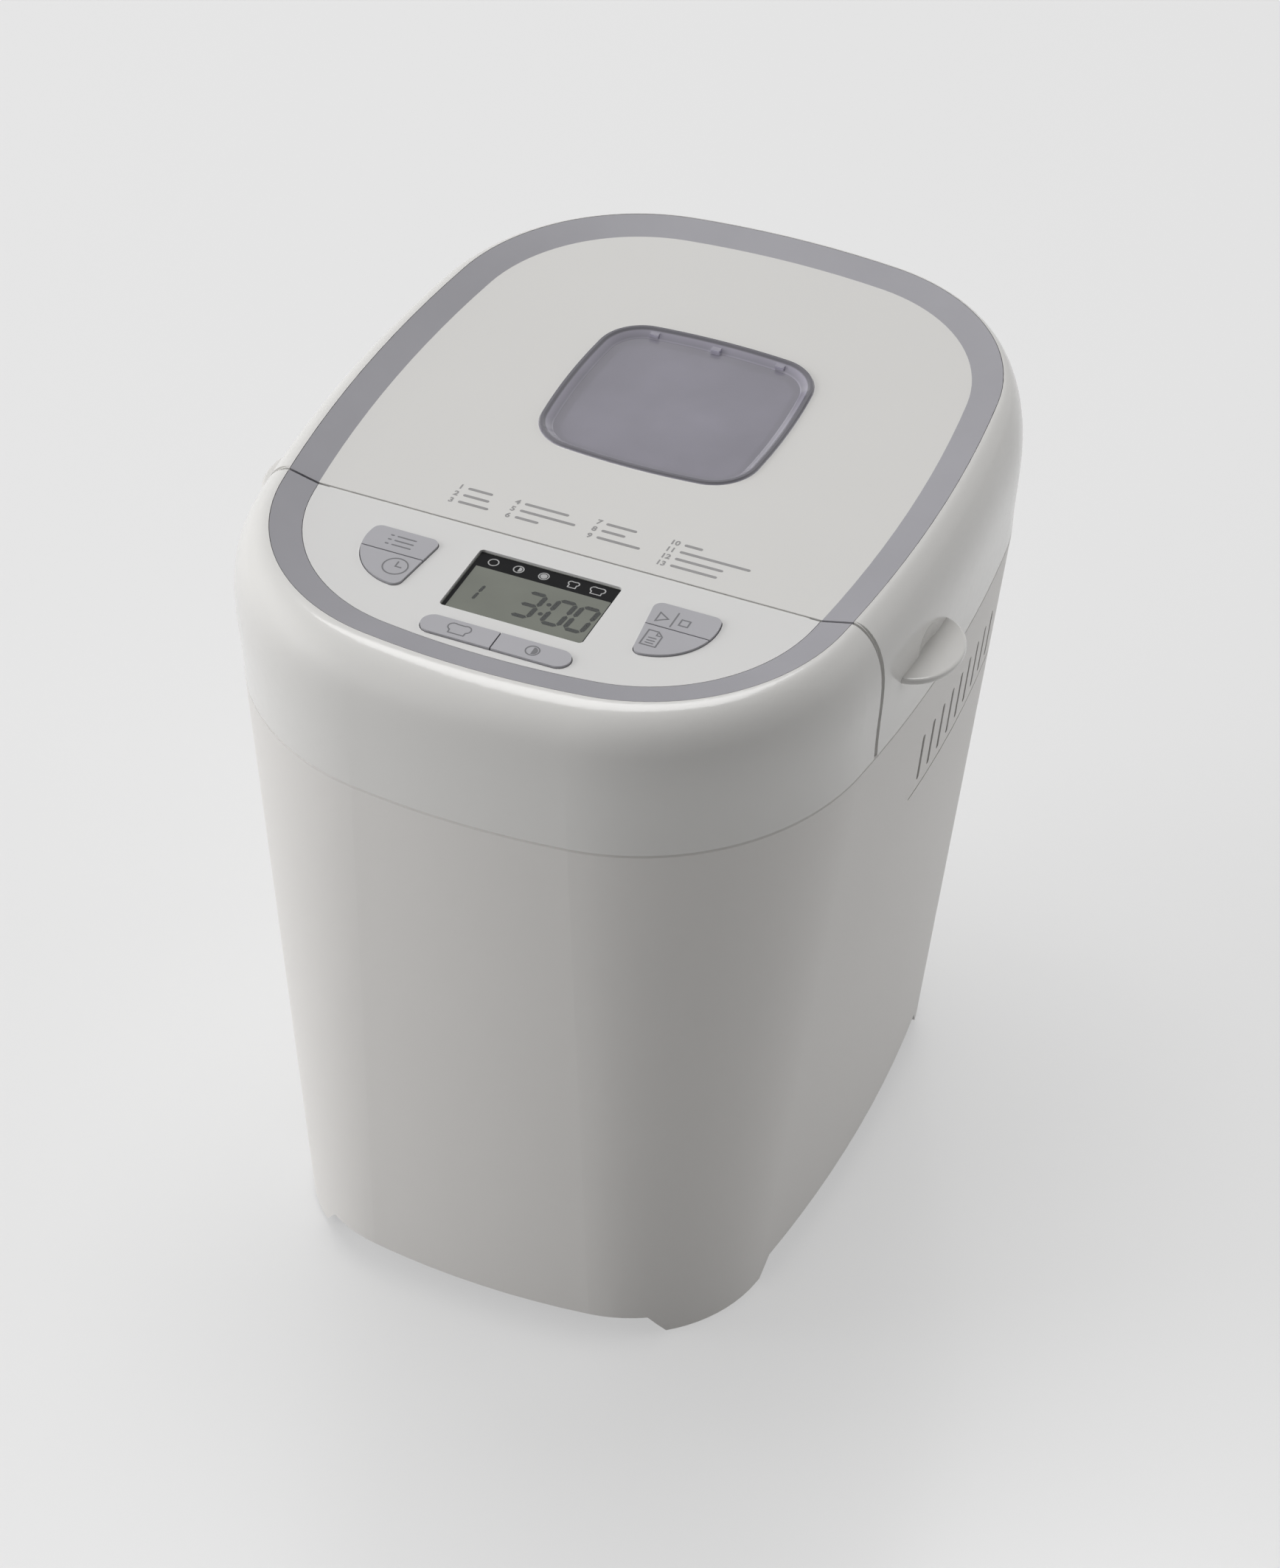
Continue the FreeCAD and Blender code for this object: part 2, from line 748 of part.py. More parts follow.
dog = rod(dog_radius, dog_z, dog_top, 0, chamber_y).multiFuse(lugs(dog_top, dog_top + lug_height, False))
save("drive_dog", dog.cut(rod(shaft_radius, 0, far, 0, chamber_y)))


def toothed_rim(pitch_radius, teeth, y):
    rim = rod(pitch_radius, pulley_z, pulley_top, 0, y)
    angles = [2 * math.pi * i / teeth for i in range(teeth)]
    return cut_all(rim, [rod(tooth_radius, pulley_z - past, pulley_top + past, pitch_radius * math.cos(a),
                             y + pitch_radius * math.sin(a)) for a in angles])


rim_inner = drive_pitch_radius - 2 * tooth_radius - bush_wall
web_low = pulley_z + (pulley_width - pulley_web) / 2
hole_radius = (rim_inner - bearing_radius) / 3
hole_circle = (rim_inner + bearing_radius) / 2
hole_angles = [2 * math.pi * i / pulley_holes for i in range(pulley_holes)]
web_dish = tube(rim_inner, bearing_radius, pulley_z, web_low, 0, chamber_y)
drive_pulley = toothed_rim(drive_pitch_radius, drive_teeth, chamber_y)
upper_dish = web_dish.translated(V(0, 0, pulley_web + web_low - pulley_z))
web_holes = [rod(hole_radius, 0, far, hole_circle * math.cos(a), chamber_y + hole_circle * math.sin(a))
             for a in hole_angles]
pulley_bore = rod(shaft_radius, 0, far, 0, chamber_y)
save("drive_pulley", cut_all(drive_pulley, [web_dish, upper_dish, pulley_bore] + web_holes))


# Belt round both pulleys
def belt_loop(grow, z0, z1):
    big = drive_pitch_radius + grow
    small = motor_pitch_radius + grow
    ny = (small - big) / (chamber_y - motor_y)
    nx = math.sqrt(1 - ny * ny)
    big_right = V(big * nx, chamber_y + big * ny, z0)
    big_left = V(-big * nx, chamber_y + big * ny, z0)
    small_right = V(small * nx, motor_y + small * ny, z0)
    small_left = V(-small * nx, motor_y + small * ny, z0)
    edges = [Part.Arc(big_right, V(0, chamber_y + big, z0), big_left),
             Part.LineSegment(big_left, small_left),
             Part.Arc(small_left, V(0, motor_y - small, z0), small_right),
             Part.LineSegment(small_right, big_right)]
    return Part.Face(Part.Wire([e.toShape() for e in edges])).extrude(V(0, 0, z1 - z0))


belt_low = pulley_z + (pulley_width - belt_width) / 2
belt = belt_loop(belt_gap + belt_thickness, belt_low, belt_low + belt_width)
save("drive_belt", belt.cut(belt_loop(belt_gap, belt_low - past, belt_low + belt_width + past)))

# Motor: stator with windings between two end caps, long bolts, and the rotor on its shaft
stator_top = stator_z + stator_height
bolt_places = [(sx * bolt_offset, motor_y + sy * bolt_offset) for sx in (-1, 1) for sy in (-1, 1)]
bolt_bores = [rod(screw_radius + screw_clear, 0, far, x, y) for x, y in bolt_places]


def motor_block(z0, z1):
    return plate(stator_half, stator_half, stator_corner, z0, z1, motor_y)


stator_bores = bolt_bores + [rod(stator_bore, 0, far, 0, motor_y)]
save("motor_stator", cut_all(motor_block(stator_z, stator_top), stator_bores))
winding_depth = cap_depth - winding_clear
save("motor_windings", tube(winding_radius, stator_bore, stator_z - winding_depth, stator_z, 0, motor_y),
     tube(winding_radius, stator_bore, stator_top, stator_top + winding_depth, 0, motor_y))

low_cap_z = stator_z - cap_depth - cap_plate
high_cap_z = stator_top + cap_depth + cap_plate
cap_bores = bolt_bores + [rod(bush_bore, 0, far, 0, motor_y)]
motor_feet = [rod(motor_foot_radius, chassis_top, low_cap_z, x, y) for x, y in bolt_places]
low_boss = rod(cap_boss_radius, low_cap_z - cap_plate, low_cap_z + cap_plate, 0, motor_y)
low_cap = motor_block(low_cap_z, stator_z).cut(rod(cap_bore, low_cap_z + cap_plate, stator_z, 0, motor_y))
low_cap = low_cap.multiFuse([low_boss] + motor_feet)
high_boss = rod(cap_boss_radius, high_cap_z - cap_plate, high_cap_z + cap_boss, 0, motor_y)
high_cap = motor_block(stator_top, high_cap_z)
high_cap = high_cap.cut(rod(cap_bore, stator_top, high_cap_z - cap_plate, 0, motor_y)).fuse(high_boss)
save("motor_end_caps", cut_all(low_cap, cap_bores), cut_all(high_cap, cap_bores))
save("motor_bolts", *[rod(screw_radius, chassis_top, high_cap_z, x, y).fuse(
    rod(screw_head_radius, high_cap_z, high_cap_z + screw_head, x, y)) for x, y in bolt_places])

rotor = rod(stator_bore - rotor_gap, stator_z, stator_top, 0, motor_y)
rotor = rotor.fuse(rod(shaft_radius, pulley_z, high_cap_z + cap_boss + rotor_tail, 0, motor_y))
save("motor_rotor", rotor)
motor_pulley = toothed_rim(motor_pitch_radius, motor_teeth, motor_y)
save("motor_pulley", motor_pulley.cut(rod(shaft_radius, 0, far, 0, motor_y)))
capacitor_top = chassis_top + capacitor_height
save("motor_capacitor", rod(capacitor_radius, chassis_top, capacitor_top, capacitor_x, motor_y))

# Power board on the chassis wall, with its parts
power_face = power_board_x + board_thickness
save("power_board", slab(power_board_x, power_face, board_wall_front + power_board_margin,
                         board_wall_back - power_board_margin, power_board_bottom, power_board_top))
can_radius, can_length, can_y, can_z = filter_can
save("power_components", *[slab(power_face, power_face + depth, y0, y1, z0, z1)
                           for depth, y0, y1, z0, z1 in (transformer, relay)],
     rod_x(can_radius, power_face, power_face + can_length, can_y, can_z))


# Upper body: one rounded form, later parted into control collar and lid
def upper_form(skin, top):
    sections = [seam.inset(skin).wire(cover_bottom if skin == 0 else seam_height - past)]
    middle = (seam_height + shoulder_height) / 2
    sections.append(seam.toward(shoulder, 0.5).inset(skin).wire(middle))
    for degrees in shoulder_steps:
        angle = math.radians(degrees)
        z = shoulder_height + (top - shoulder_height) * math.sin(angle)
        sections.append(shoulder.toward(ring, 1 - math.cos(angle)).inset(skin).wire(z))
    return Part.makeLoft(sections, True, False)


upper_outer = upper_form(0, top_height)
side_groove = slab(-far, far, split_y - side_groove_half, split_y + side_groove_half, 0, far)
side_groove = cut_all(side_groove, [upper_form(side_groove_depth, top_height), ring.prism(panel_under, far)])
ring_floor = panel_z - ring_seat
ring_slope = ring_drop / ring_width

# Trim ring with its sloping face, in a lid part and a panel part
funnel = Part.makeLoft([panel_outline.inset(past).wire(panel_z - past * ring_slope),
                        ring.inset(-past).wire(top_height + past * ring_slope)], True, True)
ring_body = ring.inset(trim_clear).prism(ring_floor, top_height)
ring_body = ring_body.cut(panel_outline.prism(ring_floor - past, top_height + past)).cut(funnel)
save("panel_ring", ring_body.common(front_zone))
save("lid_ring", ring_body.common(rear_zone))

# Control collar with a seat for the panel
rear_face = split_y - split_gap / 2
collar = upper_outer.common(front_zone).cut(side_groove)
collar = collar.cut(upper_form(wall, collar_inner_top).common(front_room))
collar = collar.cut(ring.prism(ring_floor, top_height + past))
collar = collar.cut(panel_outline.prism(panel_under, top_height + past))
panel_opening = panel_outline.inset(panel_ledge).prism(collar_inner_top - past, top_height)
collar = collar.cut(panel_opening.common(front_room))
wall_foot = lower_section(deck_bottom).inset(wall + fit_gap).prism(deck_top, cover_bottom)
wall_foot = wall_foot.common(slab(-far, far, rear_face - wall, rear_face, 0, far))
lip_top = panel_z - split_lip_drop
lip_end = rear_face + split_gap - fit_gap
split_lip = slab(-split_lip_half_width, split_lip_half_width, rear_face - wall, lip_end,
                 lip_top - split_lip_height, lip_top)
split_lip = split_lip.cut(panel_outline.prism(panel_under, top_height).common(front_zone))
save("front_collar", collar.multiFuse([wall_foot, split_lip]))


# Keys: a pair on each side and a pill in front, each split in two
def key_core(side):
    places = (key_top_left, key_top_right, key_bottom, key_bulge)
    start, corner, end, bulge = [V(side * x, y, 0) for x, y in places]
    return Part.Wire([Part.LineSegment(start, corner).toShape(), Part.LineSegment(corner, end).toShape(),
                      Part.Arc(end, bulge, start).toShape()])


def key_prism(side, grow, z0, z1):
    """Key pair outline, grown all round; side 0 is the pill."""
    if side == 0:
        r = pill_half_depth + grow
        reach = pill_half_length - pill_half_depth
        ends = [rod(r, z0, z1, x, pill_y) for x in (-reach, reach)]
        return fuse_all([slab(-reach, reach, pill_y - r, pill_y + r, z0, z1)] + ends).removeSplitter()
    face = Part.Face(key_core(side)).makeOffset2D(key_round + grow)
    return face.translated(V(0, 0, z0)).extrude(V(0, 0, z1 - z0))


key_top = panel_z + key_proud
key_lip_top = panel_under - key_gap
key_lip_low = key_lip_top - key_lip_thickness
stem_low = key_lip_low - key_stem
split_half = key_split_gap / 2
upper_half = slab(-far, far, key_split_y + split_half, far, -far, far)
lower_half = slab(-far, far, -far, key_split_y - split_half, -far, far)
left_half_zone = slab(-far, -split_half, -far, far, -far, far)
right_half_zone = slab(split_half, far, -far, far, -far, far)


def key(side, zone, centre):
    body = key_prism(side, 0, key_lip_low, key_top).fuse(key_prism(side, key_lip, key_lip_low, key_lip_top))
    x, y = centre
    return body.common(zone).fuse(rod(key_stem_radius, stem_low, key_lip_low, x, y))


def at_side(side, place):
    return (side * place[0], place[1])


save("menu_key", key(-1, upper_half, at_side(-1, upper_key)))
save("timer_key", key(-1, lower_half, at_side(-1, lower_key)))
save("start_key", key(1, upper_half, at_side(1, upper_key)))
save("recipe_key", key(1, lower_half, at_side(1, lower_key)))
save("loaf_key", key(0, left_half_zone, at_side(-1, pill_key)))
save("colour_key", key(0, right_half_zone, at_side(1, pill_key)))

# Control panel, display lens and module, board and key switches
board_top = stem_low - key_travel - switch_clear - switch_height
lens_top = panel_z - lcd_sink
lens_low = lens_top - lcd_lens
post_places = both_sides(posts)


def lcd_plate(grow, z0, z1):
    return plate(lcd_width / 2 + grow, lcd_depth / 2 + grow, lcd_corner, z0, z1, lcd_y)


panel = panel_outline.inset(trim_clear).prism(panel_under, panel_z).common(front_zone)
panel = cut_all(panel, [key_prism(side, key_gap, 0, far) for side in (-1, 0, 1)])
panel = cut_all(panel, [lcd_plate(trim_clear, lens_low, far), lcd_plate(-lcd_lip, 0, far)])
panel = panel.multiFuse([rod(post_radius, board_top, panel_under, x, y) for x, y in post_places])
save("control_panel", panel)
save("lcd_window", lcd_plate(0, lens_low, lens_top))
module_top = panel_under - module_gap
save("lcd_module", plate(module_width / 2, module_depth / 2, lcd_corner, board_top, module_top, lcd_y))
board_middle = (board_front + board_back) / 2
save("control_board", plate(board_half_width, (board_back - board_front) / 2, board_corner,
                            board_top - board_thickness, board_top, board_middle))
key_centres = both_sides((upper_key, lower_key, pill_key))
half_switch = switch_size / 2
save("key_switches", *[slab(x - half_switch, x + half_switch, y - half_switch, y + half_switch,
                            board_top, board_top + switch_height) for x, y in key_centres])

# Lid cover with grips, hinge knuckles, posts and the window opening
tray_flange_z = cover_bottom + tray_flange_lift
tray_outline = shoulder.inset(wall + tray_gap)
lid_screw_x = tray_outline.half_width + lid_post_radius + 2 * fit_gap
lid_post_places = both_sides([(lid_screw_x, y) for y in lid_posts])
grip_wall = seam.toward(shoulder, (grip_top - seam_height) / (shoulder_height - seam_height))
grip_root = grip_wall.half_width - wall


def grip_tab():
    stretch = FreeCAD.Matrix()
    stretch.scale(grip_reach + wall, grip_half_length, 1)
    disc = rod(1, 0, grip_thickness).transformGeometry(stretch)
    disc = disc.makeFillet(grip_round, [e for e in disc.Edges if e.isClosed()])
    tab = disc.common(slab(0, far, -far, far, -past, far))
    return tab.translate(V(grip_root, grip_y, grip_top - grip_thickness))


def grip_scoop():
    centre = V(grip_wall.half_width + scoop_radius - scoop_depth, grip_y, grip_top)
    return Part.makeSphere(scoop_radius, centre).common(slab(0, far, -far, far, grip_top, far))


lid = upper_outer.common(rear_zone).cut(side_groove)
lid_room = upper_form(wall, lid_inner_top).common(rear_room)
lid = lid.cut(lid_room)
lid = lid.cut(ring.prism(panel_z, top_height + past))
lid = lid.cut(ring.prism(ring_floor, top_height).cut(panel_outline.prism(ring_floor - past, far)))
lid = lid.cut(window.inset(window_seat - window_clear).prism(lid_inner_top - past, far))
lid = cut_all(lid, [grip_scoop(), mirrored(grip_scoop())])
lid = cut_all(lid, knuckle_notches(body_spans()))
lid_bosses = [rod(lid_post_radius, tray_flange_z + sheet, lid_inner_top, x, y) for x, y in lid_post_places]
lid_bosses = [boss.common(upper_outer) for boss in lid_bosses]
lid_webs = hinge_webs(lid_spans(), cover_bottom, hinge_z + barrel_radius, lid_room)
lid_lugs = hinge_rods(barrel_radius, lid_spans()) + lid_webs
lid = lid.multiFuse(lid_bosses + lid_lugs + [grip_tab(), mirrored(grip_tab())])
lid_pin_bores = hinge_rods(pin_radius + pin_clear, lid_spans(), past)
screw_depth = 4 * screw_radius
lid_screw_top = tray_flange_z + sheet + screw_depth
lid_screw_bores = [rod(screw_radius + screw_clear, 0, lid_screw_top, x, y) for x, y in lid_post_places]
save("lid_cover", cut_all(lid, lid_pin_bores + lid_screw_bores))

save("hinge_pins", *hinge_rods(pin_radius, lid_spans(), knuckle_gap + body_knuckle))

# Lid tray with flange, screws and seal
tray_front = split_y + split_gap / 2 + wall + 2 * fit_gap
tray = tray_outline.prism(tray_flange_z, tray_top)
flange_outline = seam.inset(wall + fit_gap)
tray = tray.fuse(flange_outline.prism(tray_flange_z, tray_flange_z + sheet))
tray = tray.common(slab(-far, far, tray_front, far, 0, far))
tray_hollow = tray_outline.inset(sheet).prism(tray_flange_z - past, tray_top - sheet)
tray_hollow = tray_hollow.common(slab(-far, far, tray_front + sheet, far, 0, far))
tray_screw_holes = [rod(screw_radius + screw_clear, 0, tray_flange_z + sheet + past, x, y)
                    for x, y in lid_post_places]
tray = cut_all(tray, [tray_hollow, window.inset(pane_rest).prism(0, far)] + tray_screw_holes)
save("lid_tray", tray)

save("lid_screws", *[rod(screw_radius, tray_flange_z, lid_screw_top, x, y).fuse(
    rod(small_head_radius, tray_flange_z - small_head, tray_flange_z, x, y)) for x, y in lid_post_places])

seal_low = deck_top + seal_gap
seal = chamber_plate(seal_margin + seal_width, seal_low, tray_flange_z)
seal = seal.common(flange_outline.prism(0, far))
save("lid_seal", seal.cut(chamber_plate(seal_margin, 0, far)))

# Window: moulded lens on the lid, glass pane on the tray and a gasket between them
pane_top = tray_top + pane_thickness
lens_bottom = panel_z - window_body
lens_floor = panel_z - window_recess
crest_z = panel_z + window_proud


def window_form(*levels):
    return Part.makeLoft([window.inset(t).wire(z) for t, z in levels], True, True)


lens_seat = window.inset(window_seat).prism(lens_bottom, panel_z)
lens = window_form((0, panel_z), (window_bevel, crest_z)).fuse(lens_seat)
lens_dish = window_form((window_rim, lens_floor), (window_crest, crest_z), (window_crest, crest_z + past))
lens = lens.cut(lens_dish)
lug_back = window.back - window_rim + window_crest
for x in window_lugs:
    lug = slab(x - window_lug_half, x + window_lug_half, lug_back - window_lug_reach, lug_back,
               lens_bottom, panel_z)
    lens = lens.fuse(lug.common(lens_seat))
save("window_lens", lens)
save("window_pane", window.inset(window_rim / 2).prism(tray_top, pane_top))
save("window_gasket", window.inset(window_rim / 2).prism(pane_top, lens_bottom).cut(
    window.inset(window_rim + window_seat).prism(0, far)))


# Bread pan with its base, hub and handle ears
def pan_form(skin, z0, z1):
    wires = []
    for z in (z0, z1):
        lean = pan_taper * (pan_rim - z) / (pan_rim - pan_bottom) + skin
        block = plate(pan_half_width - lean, pan_half_depth - lean, pan_corner - lean,
                      z, z + past, chamber_y)
        wires.append(min(block.Faces, key=lambda f: f.CenterOfMass.z).OuterWire)
    return Part.makeLoft(wires, True, True)


pan_outer = pan_form(0, pan_bottom, pan_rim)
rim_corner = pan_corner + rim_reach
pan = pan_outer.fuse(plate(pan_half_width + rim_reach, pan_half_depth + rim_reach, rim_corner,
                           pan_rim - rim_thickness, pan_rim, chamber_y))
pan_hollow = pan_form(pan_wall, pan_bottom + pan_floor, pan_rim + past)
save("bread_pan", cut_all(pan, [pan_hollow, rod(hub_radius, 0, far, 0, chamber_y)]))

hub_low = pan_bottom - pan_floor
skirt = tube(pan_skirt_radius, pan_skirt_radius - pan_skirt_wall, seat_top, pan_bottom, 0, chamber_y)
skirt_top = tube(pan_skirt_radius, hub_radius, hub_low, pan_bottom, 0, chamber_y)
save("pan_base", skirt.fuse(skirt_top))
hub_floor = pan_bottom + pan_floor
hub = rod(hub_radius, hub_low, hub_top, 0, chamber_y)
hub = hub.fuse(rod(hub_flange_radius, hub_floor, hub_floor + pan_floor, 0, chamber_y))
save("pan_hub", hub.cut(rod(bush_bore, 0, far, 0, chamber_y)))

ear_top = pan_rim - rim_thickness
ear = slab(pan_half_width - pan_taper, ear_face, chamber_y - ear_half_width, chamber_y + ear_half_width,
           ear_top - ear_height, ear_top)
ear = cut_all(ear, [pan_outer, rod_x(handle_wire + pin_clear, 0, far, chamber_y, pivot_z)])
save("pan_ears", ear, mirrored(ear))

# Pan handle: a wire bail on the two ears
pin_tip = pan_half_width + 2 * fit_gap
half_bail = [(pin_tip, chamber_y, pivot_z), (handle_x, chamber_y, pivot_z),
             (handle_x, chamber_y, pivot_z + handle_length)]
other_half = [(-x, y, z) for x, y, z in reversed(half_bail)]
bail_bends = [handle_bend, handle_corner, handle_corner, handle_bend]
bail = bent_bar(half_bail + other_half, bail_bends, handle_wire)
bail.rotate(V(0, chamber_y, pivot_z), V(1, 0, 0), handle_rest_angle - 90)
save("pan_handle", bail)

# Paddle on the pan shaft, with the coupling under the pan
coupling_z = dog_top + lug_height + lug_gap
coupling_top = hub_low - lug_gap
coupling = rod(dog_radius, coupling_z, coupling_top, 0, chamber_y)
coupling = coupling.multiFuse(lugs(dog_top + lug_gap, coupling_z, True))
save("pan_coupling", coupling.cut(rod(shaft_radius, 0, far, 0, chamber_y)))
paddle_low = hub_top + paddle_clear
paddle_top = paddle_low + paddle_height
save("pan_shaft", rod(shaft_radius, coupling_z, paddle_top - paddle_clear, 0, chamber_y))
blade_half = paddle_thickness / 2
blade_face = chamber_y - blade_half
blade = polygon([(0, blade_face, paddle_low), (paddle_radius, blade_face, paddle_low),
                 (paddle_radius - paddle_clear, blade_face, paddle_low + paddle_tip_height),
                 (paddle_radius / 2, blade_face, paddle_top), (0, blade_face, paddle_top)])
blade = blade.extrude(V(0, paddle_thickness, 0))
paddle = rod(paddle_hub_radius, paddle_low, paddle_top, 0, chamber_y).fuse(blade)
save("kneading_paddle", paddle.cut(rod(shaft_radius, 0, far, 0, chamber_y)))
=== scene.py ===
import math

import bmesh
import bpy
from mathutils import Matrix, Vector


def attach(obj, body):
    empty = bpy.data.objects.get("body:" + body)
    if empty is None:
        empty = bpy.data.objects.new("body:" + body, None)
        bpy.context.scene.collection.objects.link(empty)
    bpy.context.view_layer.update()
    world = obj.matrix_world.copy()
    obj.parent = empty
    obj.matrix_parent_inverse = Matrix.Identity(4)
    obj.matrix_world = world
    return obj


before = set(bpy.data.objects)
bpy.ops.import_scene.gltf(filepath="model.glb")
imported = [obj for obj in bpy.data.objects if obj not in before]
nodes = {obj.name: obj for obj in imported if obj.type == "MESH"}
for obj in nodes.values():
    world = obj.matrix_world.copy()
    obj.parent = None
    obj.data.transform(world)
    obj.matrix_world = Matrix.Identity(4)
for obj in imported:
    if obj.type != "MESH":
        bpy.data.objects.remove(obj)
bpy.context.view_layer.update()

MM = 0.001
scene = bpy.context.scene
scene.view_settings.view_transform = "Standard"


def aim(obj, direction):
    obj.rotation_euler = direction.to_track_quat("-Z", "Y").to_euler()


# Camera at the photograph's viewing angle
CAMERA_PLACE = (0.51409, -1.14150, 1.18753)
AZIMUTH = math.radians(24.254)
ELEVATION = math.radians(40.163)
SENSOR_HEIGHT = 36.0
FOCAL_LENGTH = 106.21
FAR_CLIP = 50.0


def build_camera():
    data = bpy.data.cameras.new("camera")
    data.sensor_fit = "VERTICAL"
    data.sensor_height = SENSOR_HEIGHT
    data.lens = FOCAL_LENGTH
    data.clip_end = FAR_CLIP
    camera = bpy.data.objects.new("camera", data)
    scene.collection.objects.link(camera)
    camera.location = CAMERA_PLACE
    level = math.cos(ELEVATION)
    aim(camera, Vector((-math.sin(AZIMUTH) * level, math.cos(AZIMUTH) * level, -math.sin(ELEVATION))))
    scene.camera = camera


build_camera()


# Light: a pale world and large soft lamps, of which only the top one shows in reflections
BACKDROP = 0.76
WORLD_LEVEL = 0.14
TOP_AIM = (0, 0, 0.2)
SIDE_AIM = (0, 0, 0.15)


def lamp(name, place, target, width, height, watts, reflected):
    data = bpy.data.lights.new(name, "AREA")
    data.shape = "RECTANGLE"
    data.size = width
    data.size_y = height
    data.energy = watts
    obj = bpy.data.objects.new(name, data)
    obj.location = place
    aim(obj, Vector(target) - Vector(place))
    obj.visible_camera = False
    obj.visible_glossy = reflected
    scene.collection.objects.link(obj)


lamp("top_softbox", (-0.8, 1.2, 4.0), TOP_AIM, 2.6, 2.2, 84.0, True)
lamp("left_softbox", (-3.9, -0.9, 1.6), SIDE_AIM, 3.4, 2.8, 82.0, False)
lamp("front_softbox", (-3.2, -3.0, 1.3), SIDE_AIM, 4.0, 2.4, 61.0, False)
lamp("right_softbox", (3.8, 2.0, 1.4), SIDE_AIM, 2.4, 2.6, 42.0, False)


def background_rays(tree):
    """One for rays that look at the backdrop: from the camera, off a gloss or through glass."""
    path = tree.nodes.new("ShaderNodeLightPath")
    first = tree.nodes.new("ShaderNodeMath")
    second = tree.nodes.new("ShaderNodeMath")
    first.operation = "MAXIMUM"
    second.operation = "MAXIMUM"
    tree.links.new(path.outputs["Is Camera Ray"], first.inputs[0])
    tree.links.new(path.outputs["Is Glossy Ray"], first.inputs[1])
    tree.links.new(first.outputs["Value"], second.inputs[0])
    tree.links.new(path.outputs["Is Transmission Ray"], second.inputs[1])
    return second.outputs["Value"]


def build_world():
    world = bpy.data.worlds.new("studio")
    scene.world = world
    world.use_nodes = True
    tree = world.node_tree
    tree.nodes.clear()
    out = tree.nodes.new("ShaderNodeOutputWorld")
    seen = tree.nodes.new("ShaderNodeBackground")
    light = tree.nodes.new("ShaderNodeBackground")
    mix = tree.nodes.new("ShaderNodeMixShader")
    seen.inputs["Color"].default_value = (BACKDROP, BACKDROP, BACKDROP, 1)
    light.inputs["Color"].default_value = (1, 1, 1, 1)
    light.inputs["Strength"].default_value = WORLD_LEVEL
    tree.links.new(background_rays(tree), mix.inputs["Fac"])
    tree.links.new(light.outputs["Background"], mix.inputs[1])
    tree.links.new(seen.outputs["Background"], mix.inputs[2])
    tree.links.new(mix.outputs["Shader"], out.inputs["Surface"])


build_world()


# Floor: pale as a background, with the soft shadow and a faint reflection
FLOOR_HALF = 12.0
FLOOR_CELLS = 8
FLOOR_DROP = 0.0002
FLOOR_SHADE = 0.37
FLOOR_GLOSS = 0.9
FLOOR_GLOSS_SHARE = 0.05
FLOOR_GLOSS_ROUGHNESS = 0.2
FLOOR_GLOW_SEEN = 0.445
FLOOR_GLOW_BOUNCED = 0.12


def build_floor():
    mesh = bpy.data.meshes.new("floor")
    bm = bmesh.new()
    bmesh.ops.create_grid(bm, x_segments=FLOOR_CELLS, y_segments=FLOOR_CELLS, size=FLOOR_HALF)
    bm.to_mesh(mesh)
    bm.free()
    floor = bpy.data.objects.new("floor", mesh)
    floor.location = (0, 0, -FLOOR_DROP)
    scene.collection.objects.link(floor)
    mat = bpy.data.materials.new("floor_paper")
    mat.use_nodes = True
    tree = mat.node_tree
    tree.nodes.clear()
    out = tree.nodes.new("ShaderNodeOutputMaterial")
    diffuse = tree.nodes.new("ShaderNodeBsdfDiffuse")
    gloss = tree.nodes.new("ShaderNodeBsdfGlossy")
    glow = tree.nodes.new("ShaderNodeEmission")
    level = tree.nodes.new("ShaderNodeMapRange")
    blend = tree.nodes.new("ShaderNodeMixShader")
    total = tree.nodes.new("ShaderNodeAddShader")
    diffuse.inputs["Color"].default_value = (FLOOR_SHADE, FLOOR_SHADE, FLOOR_SHADE, 1)
    gloss.inputs["Color"].default_value = (FLOOR_GLOSS, FLOOR_GLOSS, FLOOR_GLOSS, 1)
    gloss.inputs["Roughness"].default_value = FLOOR_GLOSS_ROUGHNESS
    blend.inputs["Fac"].default_value = FLOOR_GLOSS_SHARE
    glow.inputs["Color"].default_value = (1, 1, 1, 1)
    level.inputs["To Min"].default_value = FLOOR_GLOW_BOUNCED
    level.inputs["To Max"].default_value = FLOOR_GLOW_SEEN
    tree.links.new(background_rays(tree), level.inputs["Value"])
    tree.links.new(level.outputs["Result"], glow.inputs["Strength"])
    tree.links.new(diffuse.outputs["BSDF"], blend.inputs[1])
    tree.links.new(gloss.outputs["BSDF"], blend.inputs[2])
    tree.links.new(blend.outputs["Shader"], total.inputs[0])
    tree.links.new(glow.outputs["Emission"], total.inputs[1])
    tree.links.new(total.outputs["Shader"], out.inputs["Surface"])
    mesh.materials.append(mat)


build_floor()


# Materials: a cloudy tint, and a fine grain in roughness and relief
NOISE_LOW, NOISE_HIGH = 0.3, 0.7
CLOUD_DETAIL, GRAIN_DETAIL = 3.0, 2.0
COAT_ROUGHNESS = 0.08
EVEN = (1, 1, 1)


def noise(tree, scale, detail, stretch):
    coords = tree.nodes.new("ShaderNodeTexCoord")
    mapping = tree.nodes.new("ShaderNodeMapping")
    mapping.inputs["Scale"].default_value = stretch
    tex = tree.nodes.new("ShaderNodeTexNoise")
    tex.inputs["Scale"].default_value = scale
    tex.inputs["Detail"].default_value = detail
    tree.links.new(coords.outputs["Object"], mapping.inputs["Vector"])
    tree.links.new(mapping.outputs["Vector"], tex.inputs["Vector"])
    return tex.outputs["Fac"]


